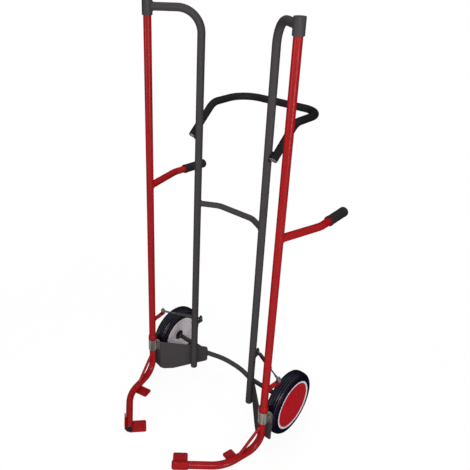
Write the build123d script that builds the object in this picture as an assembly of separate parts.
from build123d import *
import math
import os

# Tyre-stack hand cart, millimetres, +Z up, +X to the right, +Y to the rear.
# The right half is built about the right arm's pivot on y = 0 and mirrored in the plane x = 0.
# Before export everything moves along Y, so that the origin is the middle of the footprint.

# Overall places
CART_HEIGHT = 1540.0
ARM_X = 290.0
UPRIGHT_X = 149.0
UPRIGHT_SETBACK = 108.0
UPRIGHT_FOOT_Z = 57.0

# Main tube of the uprights and arms
TUBE_OD = 27.0
TUBE_WALL = 2.5

# Fits
RUN_CLEAR = 0.3
PIN_CLEAR = 0.1
BORE_CLEAR = 0.05
WELD_GAP = 0.1

# Side of the blocks that trim a bar's end to a plane
TRIM_BLOCK = 120.0

# Top sleeves, closed at the top, and the uprights' top runs
SLEEVE_WALL = 3.7
SLEEVE_LENGTH = 50.0
SLEEVE_END = 4.0
TOP_RUN_DROP = 23.0
TOP_BEND_R = 80.0

# Wheels
WHEEL_D = 250.0
WHEEL_OFFSET = 6.0
TYRE_WIDTH = 52.0
TYRE_SHOULDER_R = 14.0
TYRE_GROOVE_W = 2.6
TYRE_GROOVE_DEPTH = 2.5
TYRE_GROOVE_PITCH = 7.7
TYRE_GROOVES = 5
TYRE_CLEAR = 10.2
RIM_SEAT_R = 80.0
RIM_BARREL_T = 4.0
RIM_WEB_T = 5.0
RIM_INNER_LIP = 6.0
RIM_RING_RISE = 18.0
RIM_RING_W = 8.5
RIM_FLANGE_T = 3.0
RIM_RING_PROUD = 4.0
HUB_OD = 48.0
HUB_INNER_SET = 12.0
HUB_OUTER_REACH = 14.0
HUBCAP_T = 3.0

# Axles
AXLE_D = 18.0
AXLE_END_INSET = 2.0
AXLE_WASHER_D = 43.0
AXLE_WASHER_T = 4.0

# Side plates
PLATE_T = 4.0
PLATE_TOP_Z = 178.0
PLATE_BEND_R = 5.0
FLANGE_EDGE = 2.0
FLANGE_BEND_MARGIN = 5.0
FLANGE_BOTTOM_Z = 53.0
FLANGE_CORNER_R = 8.0
BELLY_Z = 36.5
BELLY_RISE = 40.0
BELLY_START = 14.0
BELLY_LENGTH = 40.0
BELLY_CORNER_R = 10.0
TAB_BEYOND_AXLE = 0.8
TAB_ABOVE_AXLE = 19.0
TAB_BELOW_AXLE = 52.0
TAB_CORNER_R = 12.0

# Saddle straps and their bolts
STRAP_T = 3.0
STRAP_HEIGHT = 51.0
STRAP_ABOVE_PLATE = 7.0
STRAP_EAR = 12.2
STRAP_EAR_CORNER_R = 6.0
STRAP_BOLT_D = 6.0
STRAP_BOLT_AF = 10.0
STRAP_BOLT_HEAD = 4.0
STRAP_BOLT_BELOW_TOP = 12.0
STRAP_BOLT_SPARE = 1.5
STRAP_NUT_T = 5.0
STRAP_HOLE_CLEAR = 0.2

# Crossbars
MID_BAR_D = 21.5
MID_BAR_Z = 828.0
MID_BAR_BEND_X = 75.6
MID_BAR_BOW = 39.7
MID_BAR_BEND_R = 60.0
LOW_BAR_D = 19.5
LOW_BAR_BELOW_AXLE = 13.0
LOW_BAR_BEND_X = 45.0
LOW_BAR_BOW = 22.0
LOW_BAR_BEND_R = 250.0

# Push bar
PUSH_OD = 27.0
PUSH_WALL = 2.5
PUSH_Z = 1187.0
PUSH_REACH = 275.0
PUSH_END_DROP = 102.0
PUSH_END_AHEAD = 8.0
PUSH_RISE_REACH = 102.0
PUSH_RISE_R = 60.0
PUSH_CORNER_R = 80.0

# Lugs and pivot pins that carry the gas struts
LUG_ABOVE_WHEEL = 24.0
LUG_W = 16.0
LUG_T = 8.0
ARM_PIN_OUT = 7.0
ARM_PIN_BACK = 69.0
FRAME_PIN_OUT = -1.0
FRAME_PIN_BACK = 35.0
PIN_D = 6.0
PIN_FLANGE_D = 20.0
PIN_FLANGE_T = 2.0
PIN_HEAD_AF = 10.0
PIN_HEAD_T = 5.0
PIN_TAIL_D = 9.0
PIN_TAIL_T = 2.0

# Gas struts
STRUT_OD = 15.0
STRUT_WALL = 1.2
STRUT_END_T = 3.0
STRUT_TRAVEL = 36.0
STRUT_ROD_D = 6.0
STRUT_ROD_SHOWS = 38.0
STRUT_PISTON_T = 6.0
STRUT_EYE_T = 11.0
STRUT_EYE_OD = 18.0
STRUT_NECK_D = 9.0
STRUT_NECK_LENGTH = 18.0
OPEN_EYE_OD = 22.0
OPEN_EYE_SLACK = 4.6
OPEN_NECK_LENGTH = 24.0
ROD_IN_NECK = 9.0

# Arm collars
COLLAR_WALL = 4.2
COLLAR_HEIGHT = 22.0
COLLAR_EDGE_R = 5.0

# Levers and grips
LEVER_OD = 26.5
LEVER_WALL = 2.25
LEVER_Z = 886.5
LEVER_DROP = 8.0
LEVER_SPLAY = 42.0
LEVER_BEND_BACK = 172.0
LEVER_BEND_R = 80.0
LEVER_TIP_OUT = 35.0
LEVER_TIP_BACK = 338.0
GRIP_OD = 35.5
GRIP_LENGTH = 115.0
GRIP_END = 4.0
GRIP_TIP_R = 9.0
GRIP_LIP_R = 2.0

# Feet
FOOT_BEND_R = 60.0
FOOT_CORNER_IN = 36.5
FOOT_CORNER_AHEAD = 165.0
FOOT_CORNER_R = 150.0
FOOT_END_IN = 174.0
FOOT_END_AHEAD = 288.0
PLUG_DEPTH = 15.0
PLUG_HEAD_T = 2.5
BRACE_D = 11.0
BRACE_TOP_Z = 120.0
BRACE_REACH = 113.6
BLADE_T = 6.0
BLADE_CORNER_R = 7.0
BLADE_UNDER = 2.0
MID_BLADE_AT = 115.0
MID_BLADE_W = 42.0
MID_BLADE_REACH = 55.0
END_BLADE_W = 54.0
END_BLADE_REACH = 65.0
TOE_PLATE_T = 4.0
TOE_PLATE_LENGTH = 57.0
TOE_PLATE_LOW_Z = 13.0
TOE_PLATE_HIGH_Z = 49.0

# Worked-out places
TUBE_R = TUBE_OD / 2
WHEEL_R = WHEEL_D / 2
WHEEL_X = ARM_X + WHEEL_OFFSET
TYRE_HALF = TYRE_WIDTH / 2
RIM_INNER_LIP_R = RIM_SEAT_R + RIM_INNER_LIP
RIM_RING_R = RIM_SEAT_R + RIM_RING_RISE
SLEEVE_BORE_R = TUBE_R + RUN_CLEAR
SLEEVE_R = SLEEVE_BORE_R + SLEEVE_WALL
TOP_RUN_Z = CART_HEIGHT - TOP_RUN_DROP
FLANGE_FRONT_Y = TUBE_R + RUN_CLEAR
FLANGE_REAR_Y = FLANGE_FRONT_Y + PLATE_T
AXLE_SETBACK = FLANGE_REAR_Y + TYRE_CLEAR + WHEEL_R
AXLE_Z = WHEEL_R
AXLE_R = AXLE_D / 2
STRAP_TOP_Z = PLATE_TOP_Z + STRAP_ABOVE_PLATE
STRAP_R = SLEEVE_BORE_R + STRAP_T
FLANGE_OUT = STRAP_R + STRAP_EAR + FLANGE_EDGE
FLANGE_IN = STRAP_R + STRAP_EAR + FLANGE_BEND_MARGIN
STRAP_BOLT_OUT = STRAP_R + STRAP_EAR / 2
STRAP_BOLT_Z = PLATE_TOP_Z - STRAP_BOLT_BELOW_TOP
LUG_Z = WHEEL_D + LUG_ABOVE_WHEEL
LUG_TOP_Z = LUG_Z + LUG_T
STRUT_Z = LUG_TOP_Z + RUN_CLEAR + STRUT_EYE_T / 2
FOOT_Z = BLADE_T + WELD_GAP + TUBE_R

ARM_AXIS = Vector(ARM_X, 0, 0)
UPRIGHT_AXIS = Vector(UPRIGHT_X, UPRIGHT_SETBACK, 0)
ARM_PIN = ARM_AXIS + Vector(ARM_PIN_OUT, ARM_PIN_BACK, 0)
FRAME_PIN = UPRIGHT_AXIS + Vector(FRAME_PIN_OUT, FRAME_PIN_BACK, 0)
STRUT_LENGTH = (ARM_PIN - FRAME_PIN).length
FOOT_CORNER = ARM_AXIS + Vector(-FOOT_CORNER_IN, -FOOT_CORNER_AHEAD, 0)
FOOT_END = ARM_AXIS + Vector(-FOOT_END_IN, -FOOT_END_AHEAD, 0)
LEVER_BEND_Z = LEVER_Z - LEVER_DROP * LEVER_BEND_BACK / LEVER_TIP_BACK
LEVER_BEND = ARM_AXIS + Vector(LEVER_SPLAY, LEVER_BEND_BACK, LEVER_BEND_Z)
LEVER_TIP = ARM_AXIS + Vector(LEVER_TIP_OUT, LEVER_TIP_BACK, LEVER_Z - LEVER_DROP)

# The panel's front face leaves the plate's bend and passes behind the upright, touching its weld line.
PANEL_BEND = Vector(ARM_X - FLANGE_IN, FLANGE_FRONT_Y, 0)
_to_upright = UPRIGHT_AXIS - PANEL_BEND
_off_line = math.asin((TUBE_R + WELD_GAP) / _to_upright.length)
_panel_angle = math.atan2(_to_upright.Y, _to_upright.X) - _off_line
PANEL_ALONG = Vector(math.cos(_panel_angle), math.sin(_panel_angle), 0)
PANEL_BACK = Vector(math.sin(_panel_angle), -math.cos(_panel_angle), 0)
# Where the axle meets the panel's rear face, measured along the panel from the bend
AXLE_SEAT = (AXLE_SETBACK - PANEL_BEND.Y - PLATE_T * PANEL_BACK.Y) / PANEL_ALONG.Y
PANEL_LENGTH = AXLE_SEAT + AXLE_R / PANEL_ALONG.Y + TAB_BEYOND_AXLE
TAB_END = PANEL_BEND + PANEL_ALONG * PANEL_LENGTH + PANEL_BACK * (PLATE_T / 2)

BASE = (Align.CENTER, Align.CENTER, Align.MIN)


def at_height(point, z):
    """The plan point at height z."""
    return Vector(point.X, point.Y, z)


def column(point, radius, low, high):
    """Upright cylinder on a plan point."""
    return Location((point.X, point.Y, low)) * Cylinder(radius, high - low, align=BASE)


def bar_x(radius, start, end):
    """Cylinder along the local X axis."""
    return Location((start, 0, 0), (0, 90, 0)) * Cylinder(radius, end - start, align=BASE)


def bent_path(points, radii):
    """Straight runs joined by tangent arcs, one radius for each corner."""
    return FilletPolyline(*points, radius=radii)


def swept(path, section):
    """A section carried square to a path."""
    return sweep(Plane(origin=path @ 0, z_dir=path % 0) * section, path=path)


def tube_section(outside, wall):
    """Ring of a tube's outside diameter and wall."""
    return Circle(outside / 2) - Circle(outside / 2 - wall)


def beyond(origin, direction):
    """Block on the far side of a plane, in the given direction."""
    return Plane(origin=origin, z_dir=direction) * Box(TRIM_BLOCK, TRIM_BLOCK, TRIM_BLOCK, align=BASE)


def ring_profile(boxes):
    """Profile in the plane of x and r from (x low, x high, r low, r high) boxes."""
    at_corner = (Align.MIN, Align.MIN)
    profile = Sketch()
    for x_low, x_high, r_low, r_high in boxes:
        box = Rectangle(x_high - x_low, r_high - r_low, align=at_corner)
        profile += Pos(x_low, r_low) * box
    return profile


def hexagon(across_flats):
    """Hexagon of a bolt head or nut."""
    return RegularPolygon(across_flats / 2, 6, major_radius=False)


def corner(sketch, x, y):
    """The sketch vertex nearest to a point."""
    return sketch.vertices().sort_by_distance((x, y, 0))[0]


def upright():
    """Rear upright with its top run, coped to the sleeve."""
    path = bent_path(
        [
            at_height(UPRIGHT_AXIS, UPRIGHT_FOOT_Z),
            at_height(UPRIGHT_AXIS, TOP_RUN_Z),
            at_height(ARM_AXIS, TOP_RUN_Z),
        ],
        [TOP_BEND_R],
    )
    tube = swept(path, tube_section(TUBE_OD, TUBE_WALL))
    return tube - column(ARM_AXIS, SLEEVE_R + WELD_GAP, TOP_RUN_Z - TUBE_OD, TOP_RUN_Z + TUBE_OD)


def top_sleeve():
    """Blind sleeve in which the arm's top end turns."""
    low = CART_HEIGHT - SLEEVE_LENGTH
    return column(ARM_AXIS, SLEEVE_R, low, CART_HEIGHT) - column(
        ARM_AXIS, SLEEVE_BORE_R, low, CART_HEIGHT - SLEEVE_END
    )


def plate_plan():
    """Plan of the bent sheet: flange across the front, panel slanting to the rear."""
    flange_end = Vector(ARM_X + FLANGE_OUT, FLANGE_FRONT_Y, 0)
    flange_back = Vector(0, 1, 0)
    mitre = PANEL_BEND + (flange_back + PANEL_BACK) * (PLATE_T / (1 + flange_back.dot(PANEL_BACK)))
    panel_end = PANEL_BEND + PANEL_ALONG * PANEL_LENGTH
    outline = Polyline(
        flange_end,
        PANEL_BEND,
        panel_end,
        panel_end + PANEL_BACK * PLATE_T,
        mitre,
        flange_end + flange_back * PLATE_T,
        close=True,
    )
    plan = make_face(outline)
    plan = fillet(corner(plan, PANEL_BEND.X, PANEL_BEND.Y), PLATE_BEND_R)
    return fillet(corner(plan, mitre.X, mitre.Y), PLATE_BEND_R + PLATE_T)


def plate_outline():
    """Side view of the plate, along the panel from its bend and up from the floor."""
    far = FLANGE_OUT + FLANGE_IN
    belly_end = BELLY_START + BELLY_LENGTH
    tab_top = AXLE_Z + TAB_ABOVE_AXLE
    tab_bottom = AXLE_Z - TAB_BELOW_AXLE
    outline = make_face(
        Polyline(
            (-far, PLATE_TOP_Z),
            (0, PLATE_TOP_Z),
            (PANEL_LENGTH, tab_top),
            (PANEL_LENGTH, tab_bottom),
            (belly_end, BELLY_Z),
            (BELLY_START, BELLY_Z),
            (BELLY_START - BELLY_RISE, FLANGE_BOTTOM_Z),
            (-far, FLANGE_BOTTOM_Z),
            close=True,
        )
    )
    for x, y, radius in (
        (PANEL_LENGTH, tab_top, TAB_CORNER_R),
        (PANEL_LENGTH, tab_bottom, TAB_CORNER_R),
        (belly_end, BELLY_Z, BELLY_CORNER_R),
        (BELLY_START, BELLY_Z, BELLY_CORNER_R),
    ):
        outline = fillet(corner(outline, x, y), radius)
    return outline


def side_plate():
    """Bent sheet between the arm's strap, the upright, the axle and the lower crossbar."""
    sheet = extrude(plate_plan(), PLATE_TOP_Z)
    side = Plane(origin=PANEL_BEND, x_dir=PANEL_ALONG, z_dir=PANEL_BACK)
    plate = sheet & side * extrude(plate_outline(), FLANGE_OUT + FLANGE_IN, both=True)
    outer_edges = plate.edges().filter_by(Axis.Y).group_by(Axis.X)[-1]
    plate = fillet(outer_edges, FLANGE_CORNER_R)
    for x in (ARM_X - STRAP_BOLT_OUT, ARM_X + STRAP_BOLT_OUT):
        plate -= strap_hole(x)
    return plate


def strap_hole(x):
    """Clearance hole of one strap bolt."""
    start = Plane(origin=(x, 0, STRAP_BOLT_Z), z_dir=(0, 1, 0))
    return start * Cylinder(STRAP_BOLT_D / 2 + STRAP_HOLE_CLEAR, 2 * FLANGE_REAR_Y, align=BASE)


def saddle_strap():
    """Half-round strap that holds the arm against the flange, with an ear on each side."""
    ear_edge = STRAP_R + STRAP_EAR
    outside = Circle(STRAP_R)
    outside += Rectangle(2 * STRAP_R, FLANGE_FRONT_Y, align=(Align.CENTER, Align.MIN))
    ears = Rectangle(2 * ear_edge, STRAP_T, align=(Align.CENTER, Align.MAX))
    outside += Pos(0, FLANGE_FRONT_Y) * ears
    inside = Circle(SLEEVE_BORE_R)
    inside += Rectangle(2 * SLEEVE_BORE_R, STRAP_R, align=(Align.CENTER, Align.MIN))
    behind = Pos(0, FLANGE_FRONT_Y) * Rectangle(2 * STRAP_R, STRAP_R, align=(Align.CENTER, Align.MIN))
    low = STRAP_TOP_Z - STRAP_HEIGHT
    strap = Location((ARM_X, 0, low)) * extrude(outside - inside - behind, STRAP_HEIGHT)
    ends = strap.edges().filter_by(Axis.Y)
    corners = ends.group_by(Axis.X)[0] + ends.group_by(Axis.X)[-1]
    strap = fillet(corners, STRAP_EAR_CORNER_R)
    for x in (ARM_X - STRAP_BOLT_OUT, ARM_X + STRAP_BOLT_OUT):
        strap -= strap_hole(x)
    return strap


def strap_bolt(x):
    """Hexagon bolt through one ear and the flange."""
    front = Plane(origin=(x, FLANGE_FRONT_Y - STRAP_T, STRAP_BOLT_Z), z_dir=(0, 1, 0))
    length = STRAP_T + PLATE_T + STRAP_NUT_T + STRAP_BOLT_SPARE
    head = extrude(hexagon(STRAP_BOLT_AF), -STRAP_BOLT_HEAD)
    return front * (head + Cylinder(STRAP_BOLT_D / 2, length, align=BASE))


def strap_nut(x):
    """Nut behind the flange."""
    rear = Plane(origin=(x, FLANGE_REAR_Y, STRAP_BOLT_Z), z_dir=(0, 1, 0))
    nut = extrude(hexagon(STRAP_BOLT_AF), STRAP_NUT_T)
    return rear * (nut - Cylinder(STRAP_BOLT_D / 2 + BORE_CLEAR, 2 * STRAP_NUT_T))


def mid_crossbar():
    """Bowed bar between the uprights, coped to both."""
    bow_y = UPRIGHT_SETBACK + MID_BAR_BOW
    path = bent_path(
        [
            (-UPRIGHT_X, UPRIGHT_SETBACK, MID_BAR_Z),
            (-MID_BAR_BEND_X, bow_y, MID_BAR_Z),
            (MID_BAR_BEND_X, bow_y, MID_BAR_Z),
            (UPRIGHT_X, UPRIGHT_SETBACK, MID_BAR_Z),
        ],
        [MID_BAR_BEND_R, MID_BAR_BEND_R],
    )
    bar = swept(path, Circle(MID_BAR_D / 2))
    for x in (-UPRIGHT_X, UPRIGHT_X):
        axis = Vector(x, UPRIGHT_SETBACK, 0)
        bar -= column(axis, TUBE_R + WELD_GAP, MID_BAR_Z - MID_BAR_D, MID_BAR_Z + MID_BAR_D)
    return bar


def lower_crossbar():
    """Bowed bar between the two tab ends, cut to their edges."""
    z = AXLE_Z - LOW_BAR_BELOW_AXLE
    bend = Vector(LOW_BAR_BEND_X, TAB_END.Y + LOW_BAR_BOW, z)
    end = at_height(TAB_END, z)
    start = end + (end - bend).normalized() * LOW_BAR_D
    points = [Vector(-start.X, start.Y, z), Vector(-bend.X, bend.Y, z), bend, start]
    bar = swept(bent_path(points, [LOW_BAR_BEND_R, LOW_BAR_BEND_R]), Circle(LOW_BAR_D / 2))
    tab_side = beyond(end + PANEL_ALONG * WELD_GAP, PANEL_ALONG * -1)
    return bar - tab_side - mirror(tab_side, Plane.YZ)


def push_bar():
    """Bent tube across the rear, its ends welded to the outside of the uprights."""
    x = UPRIGHT_X + TUBE_R + WELD_GAP + PUSH_OD / 2
    end = Vector(x, UPRIGHT_SETBACK - PUSH_END_AHEAD, PUSH_Z - PUSH_END_DROP)
    rise = Vector(x, UPRIGHT_SETBACK + PUSH_RISE_REACH, PUSH_Z)
    back = Vector(x, UPRIGHT_SETBACK + PUSH_REACH, PUSH_Z)
    right = [end, rise, back]
    left = [Vector(-p.X, p.Y, p.Z) for p in reversed(right)]
    radii = [PUSH_RISE_R, PUSH_CORNER_R, PUSH_CORNER_R, PUSH_RISE_R]
    return swept(bent_path(right + left, radii), tube_section(PUSH_OD, PUSH_WALL))


def axle():
    """Stub axle from the panel's rear face into the wheel's hub."""
    end = WHEEL_X + HUB_OUTER_REACH - AXLE_END_INSET
    start = TAB_END.X - AXLE_D
    stub = Location((0, AXLE_SETBACK, AXLE_Z)) * bar_x(AXLE_R, start, end)
    seat = PANEL_BEND + PANEL_ALONG * AXLE_SEAT + PANEL_BACK * (PLATE_T + WELD_GAP)
    return stub - beyond(at_height(seat, AXLE_Z), PANEL_BACK * -1)


def hub_inner_x():
    """Inner end of the hub, measured from the wheel's middle."""
    return -TYRE_HALF + HUB_INNER_SET


def axle_washer():
    """Flanged washer between the hub and the frame."""
    end = WHEEL_X + hub_inner_x() - RUN_CLEAR
    start = end - AXLE_WASHER_T
    washer = bar_x(AXLE_WASHER_D / 2, start, end) - bar_x(AXLE_R + PIN_CLEAR, start, end)
    return Location((0, AXLE_SETBACK, AXLE_Z)) * washer


def rim():
    """Wheel centre: hub, dished inner web, barrel, and the outer flange with its raised ring."""
    face = TYRE_HALF - RIM_RING_PROUD
    barrel = RIM_SEAT_R - RIM_BARREL_T
    hub = hub_inner_x()
    boxes = [
        (hub, HUB_OUTER_REACH, AXLE_R + BORE_CLEAR, HUB_OD / 2),
        (-TYRE_HALF, -TYRE_HALF + RIM_WEB_T, barrel, RIM_INNER_LIP_R),
        (-TYRE_HALF, face, barrel, RIM_SEAT_R),
        (face - RIM_FLANGE_T, face, barrel, RIM_RING_R),
        (face - RIM_FLANGE_T, TYRE_HALF, RIM_RING_R - RIM_RING_W, RIM_RING_R),
    ]
    web = Polyline(
        (-TYRE_HALF, barrel),
        (-TYRE_HALF + RIM_WEB_T, barrel),
        (hub + RIM_WEB_T, HUB_OD / 2),
        (hub, HUB_OD / 2),
        close=True,
    )
    profile = ring_profile(boxes) + make_face(web)
    return Location((WHEEL_X, AXLE_SETBACK, AXLE_Z)) * revolve(profile, Axis.X)


def tyre():
    """Solid rubber tyre seated on the rim's barrel, with round shoulders and tread grooves."""
    outer_face = TYRE_HALF - RIM_RING_PROUD - RIM_FLANGE_T - WELD_GAP
    inner_face = -TYRE_HALF + RIM_WEB_T + WELD_GAP
    seat = RIM_SEAT_R + WELD_GAP
    ring = RIM_RING_R + WELD_GAP
    lip = RIM_INNER_LIP_R + WELD_GAP
    profile = make_face(
        Polyline(
            (-TYRE_HALF, lip),
            (-TYRE_HALF, WHEEL_R),
            (TYRE_HALF, WHEEL_R),
            (TYRE_HALF, ring),
            (outer_face, ring),
            (outer_face, seat),
            (inner_face, seat),
            (inner_face, lip),
            close=True,
        )
    )
    for x in (-TYRE_HALF, TYRE_HALF):
        profile = fillet(corner(profile, x, WHEEL_R), TYRE_SHOULDER_R)
    for i in range(TYRE_GROOVES):
        x = (i - (TYRE_GROOVES - 1) / 2) * TYRE_GROOVE_PITCH
        profile -= Pos(x, WHEEL_R) * Rectangle(TYRE_GROOVE_W, 2 * TYRE_GROOVE_DEPTH)
    return Location((WHEEL_X, AXLE_SETBACK, AXLE_Z)) * revolve(profile, Axis.X)


def hubcap():
    """Disc inside the rim's raised ring."""
    face = TYRE_HALF - RIM_RING_PROUD
    radius = RIM_RING_R - RIM_RING_W - WELD_GAP
    return Location((WHEEL_X, AXLE_SETBACK, AXLE_Z)) * bar_x(radius, face, face + HUBCAP_T)


def lug(axis, pin):
    """Flat bar from a tube to a pivot pin, rounded about the pin and coped to the tube."""
    reach = pin - axis
    plan = Rectangle(reach.length, LUG_W, align=(Align.MIN, Align.CENTER))
    plan += Pos(reach.length, 0) * Circle(LUG_W / 2)
    place = Plane(origin=at_height(axis, LUG_Z), x_dir=reach, z_dir=(0, 0, 1))
    bar = place * extrude(plan, LUG_T)
    bar -= column(axis, TUBE_R + WELD_GAP, LUG_Z, LUG_TOP_Z)
    return bar - column(pin, PIN_D / 2 + PIN_CLEAR, LUG_Z, LUG_TOP_Z)


def pivot_pin(pin):
    """Pin through a strut's eye and its lug: hexagon and flange on top, riveted tail below."""
    flange_z = LUG_TOP_Z + STRUT_EYE_T + 2 * RUN_CLEAR
    head_z = flange_z + PIN_FLANGE_T
    solid = column(pin, PIN_D / 2, LUG_Z - PIN_TAIL_T, flange_z)
    solid += column(pin, PIN_TAIL_D / 2, LUG_Z - PIN_TAIL_T, LUG_Z)
    solid += column(pin, PIN_FLANGE_D / 2, flange_z, head_z)
    return solid + Location(at_height(pin, head_z)) * extrude(hexagon(PIN_HEAD_AF), PIN_HEAD_T)


def strut_place():
    """The strut's own frame: origin on the frame pin, X towards the arm pin."""
    return Plane(origin=at_height(FRAME_PIN, STRUT_Z), x_dir=ARM_PIN - FRAME_PIN, z_dir=(0, 0, 1))


def strut_cylinder_end():
    """Gland end of the cylinder, from the frame pin."""
    return STRUT_LENGTH - OPEN_NECK_LENGTH - STRUT_ROD_SHOWS


def strut_cylinder():
    """Gas strut's tube, closed but for the rod's hole."""
    end = strut_cylinder_end()
    tube = bar_x(STRUT_OD / 2, STRUT_NECK_LENGTH, end)
    tube -= bar_x(STRUT_OD / 2 - STRUT_WALL, STRUT_NECK_LENGTH + STRUT_END_T, end - STRUT_END_T)
    tube -= bar_x(STRUT_ROD_D / 2 + RUN_CLEAR, end - 2 * STRUT_END_T, end)
    return strut_place() * tube


def strut_eye():
    """Fixed end fitting: ring on the frame pin and a neck to the cylinder."""
    eye = Cylinder(STRUT_EYE_OD / 2, STRUT_EYE_T) + bar_x(STRUT_NECK_D / 2, 0, STRUT_NECK_LENGTH)
    return strut_place() * (eye - Cylinder(PIN_D / 2 + PIN_CLEAR, STRUT_EYE_T))


def strut_rod():
    """Rod with its piston, pushed out to the rest length."""
    piston = STRUT_NECK_LENGTH + STRUT_END_T + STRUT_TRAVEL + STRUT_PISTON_T
    end = STRUT_LENGTH - OPEN_NECK_LENGTH + ROD_IN_NECK
    rod = bar_x(STRUT_ROD_D / 2, piston, end)
    bore = STRUT_OD / 2 - STRUT_WALL - RUN_CLEAR
    return strut_place() * (rod + bar_x(bore, piston, piston + STRUT_PISTON_T))


def strut_rod_eye():
    """Moving end fitting: neck on the rod and a ring with slack about the arm pin."""
    start = STRUT_LENGTH - OPEN_NECK_LENGTH
    ring = Location((STRUT_LENGTH, 0, 0)) * Cylinder(OPEN_EYE_OD / 2, STRUT_EYE_T)
    slack = Location((STRUT_LENGTH, 0, 0)) * Cylinder(PIN_D / 2 + OPEN_EYE_SLACK, STRUT_EYE_T)
    neck = bar_x(STRUT_NECK_D / 2, start, STRUT_LENGTH)
    socket = bar_x(STRUT_ROD_D / 2 + BORE_CLEAR, start, start + ROD_IN_NECK)
    return strut_place() * (ring + neck - slack - socket)


def arm_path():
    """Centre line of the arm: the pivoting post, the bend to the floor and the foot."""
    top = CART_HEIGHT - SLEEVE_END - RUN_CLEAR
    return bent_path(
        [
            at_height(ARM_AXIS, top),
            at_height(ARM_AXIS, FOOT_Z),
            at_height(FOOT_CORNER, FOOT_Z),
            at_height(FOOT_END, FOOT_Z),
        ],
        [FOOT_BEND_R, FOOT_CORNER_R],
    )


def arm_tube():
    """Post and foot in one bent tube."""
    return swept(arm_path(), tube_section(TUBE_OD, TUBE_WALL))


def arm_collar():
    """Rounded ring on the post that rides on the saddle strap."""
    low = STRAP_TOP_Z + RUN_CLEAR
    outside = column(ARM_AXIS, TUBE_R + COLLAR_WALL, low, low + COLLAR_HEIGHT)
    outside = fillet(outside.edges().filter_by(GeomType.CIRCLE), COLLAR_EDGE_R)
    return outside - column(ARM_AXIS, TUBE_R + WELD_GAP, low, low + COLLAR_HEIGHT)


def lever():
    """Bent tube from the post to the grip."""
    tip = LEVER_TIP - (LEVER_TIP - LEVER_BEND).normalized() * GRIP_END
    points = [at_height(ARM_AXIS, LEVER_Z), LEVER_BEND, tip]
    tube = swept(bent_path(points, [LEVER_BEND_R]), tube_section(LEVER_OD, LEVER_WALL))
    return tube - column(ARM_AXIS, TUBE_R + WELD_GAP, LEVER_Z - LEVER_OD, LEVER_Z + LEVER_OD)


def grip():
    """Rubber sleeve with a closed, rounded end over the lever."""
    along = (LEVER_TIP - LEVER_BEND).normalized()
    place = Plane(origin=LEVER_TIP, x_dir=along, z_dir=Vector(0, 0, 1) - along * along.Z)
    sleeve = bar_x(GRIP_OD / 2, -GRIP_LENGTH, 0)
    sleeve = fillet(sleeve.edges().filter_by(GeomType.CIRCLE).group_by(Axis.X)[-1], GRIP_TIP_R)
    sleeve = fillet(sleeve.edges().filter_by(GeomType.CIRCLE).group_by(Axis.X)[0], GRIP_LIP_R)
    return place * (sleeve - bar_x(LEVER_OD / 2 + WELD_GAP, -GRIP_LENGTH, -GRIP_END))


def foot_run():
    """Direction of the foot's first run in plan."""
    return (FOOT_CORNER - ARM_AXIS).normalized()


def foot_brace():
    """Round rod across the bend between the post and the foot."""
    top = at_height(ARM_AXIS, BRACE_TOP_Z)
    bottom = at_height(ARM_AXIS + foot_run() * BRACE_REACH, FOOT_Z)
    path = Line(top, bottom)
    rod = swept(path, Circle(BRACE_D / 2))
    return rod - swept(arm_path(), Circle(TUBE_R + WELD_GAP))


def inward(run):
    """Plan direction square to a run, towards the middle of the cart."""
    return Vector(run.Y, -run.X, 0)


def blade(width, reach):
    """Flat blade, its width along X and its reach towards -Y from under a tube's axis."""
    plan = RectangleRounded(width, BLADE_UNDER + reach, BLADE_CORNER_R)
    return extrude(Pos(0, (BLADE_UNDER - reach) / 2) * plan, BLADE_T)


def mid_blade():
    """Blade under the foot's first run."""
    run = foot_run()
    place = Plane(origin=ARM_AXIS + run * MID_BLADE_AT, x_dir=run, z_dir=(0, 0, 1))
    return place * blade(MID_BLADE_W, MID_BLADE_REACH)


def toe_run():
    """Direction of the foot's last run in plan."""
    return (FOOT_END - FOOT_CORNER).normalized()


def end_blade():
    """Blade under the foot's end."""
    run = toe_run()
    place = Plane(origin=FOOT_END - run * (END_BLADE_W / 2), x_dir=run, z_dir=(0, 0, 1))
    return place * blade(END_BLADE_W, END_BLADE_REACH)


def toe_plate():
    """Upright plate along the outer side of the foot's end."""
    outward = inward(toe_run()) * -1
    start = FOOT_END + outward * (TUBE_R + WELD_GAP)
    place = Plane(origin=start, x_dir=toe_run() * -1, z_dir=outward)
    side = RectangleRounded(TOE_PLATE_LENGTH, TOE_PLATE_HIGH_Z - TOE_PLATE_LOW_Z, BLADE_CORNER_R)
    middle = Pos(TOE_PLATE_LENGTH / 2, (TOE_PLATE_LOW_Z + TOE_PLATE_HIGH_Z) / 2)
    return place * extrude(middle * side, TOE_PLATE_T)


def foot_plug():
    """Plug in the foot's open end."""
    place = Plane(origin=at_height(FOOT_END, FOOT_Z), x_dir=toe_run(), z_dir=(0, 0, 1))
    plug = bar_x(TUBE_R - TUBE_WALL - WELD_GAP, -PLUG_DEPTH, 0)
    return place * (plug + bar_x(TUBE_R, 0, PLUG_HEAD_T))


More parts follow.
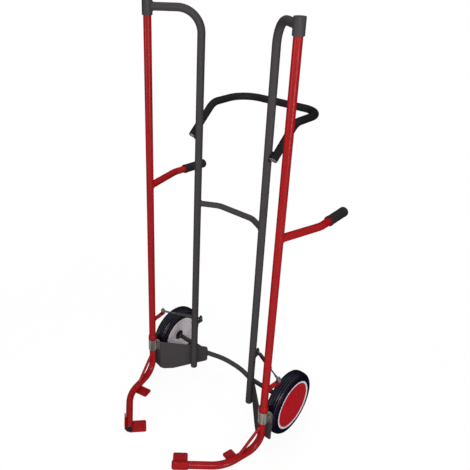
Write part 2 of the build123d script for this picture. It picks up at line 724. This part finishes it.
def both_sides(name, shape):
    """A piece of the right half and its mirror image, as two named nodes."""
    return {name + "_right": shape, name + "_left": mirror(shape, Plane.YZ)}


def group(solids):
    """Pieces of the right half and their mirror images, as one node."""
    return Compound(children=list(solids) + [mirror(s, Plane.YZ) for s in solids])


def build_nodes():
    """Every node by name, before the move to the middle of the footprint."""
    bolt_places = (ARM_X - STRAP_BOLT_OUT, ARM_X + STRAP_BOLT_OUT)
    nodes = {
        "mid_crossbar": mid_crossbar(),
        "lower_crossbar": lower_crossbar(),
        "push_bar": push_bar(),
        "strap_bolts": group([strap_bolt(x) for x in bolt_places]),
        "strap_nuts": group([strap_nut(x) for x in bolt_places]),
        "frame_pins": group([pivot_pin(FRAME_PIN)]),
    }
    pieces = {
        "upright": upright(),
        "top_sleeve": top_sleeve(),
        "side_plate": side_plate(),
        "saddle_strap": saddle_strap(),
        "axle": axle(),
        "axle_washer": axle_washer(),
        "frame_lug": lug(UPRIGHT_AXIS, FRAME_PIN),
        "tyre": tyre(),
        "rim": rim(),
        "hubcap": hubcap(),
        "strut_cylinder": strut_cylinder(),
        "strut_eye": strut_eye(),
        "strut_rod": strut_rod(),
        "strut_rod_eye": strut_rod_eye(),
        "arm_tube": arm_tube(),
        "arm_collar": arm_collar(),
        "arm_lug": lug(ARM_AXIS, ARM_PIN),
        "arm_pin": pivot_pin(ARM_PIN),
        "lever": lever(),
        "grip": grip(),
        "foot_brace": foot_brace(),
        "mid_blade": mid_blade(),
        "end_blade": end_blade(),
        "toe_plate": toe_plate(),
        "foot_plug": foot_plug(),
    }
    for name, shape in pieces.items():
        nodes.update(both_sides(name, shape))
    return nodes


def footprint_middle(nodes):
    """Y of the middle of the whole cart, front to rear."""
    boxes = [shape.bounding_box() for shape in nodes.values()]
    return (min(b.min.Y for b in boxes) + max(b.max.Y for b in boxes)) / 2


NODES = build_nodes()
MIDDLE_Y = footprint_middle(NODES)

os.makedirs("parts", exist_ok=True)
for node_name, node_shape in NODES.items():
    export_step(Pos(0, -MIDDLE_Y, 0) * node_shape, "parts/" + node_name + ".step")
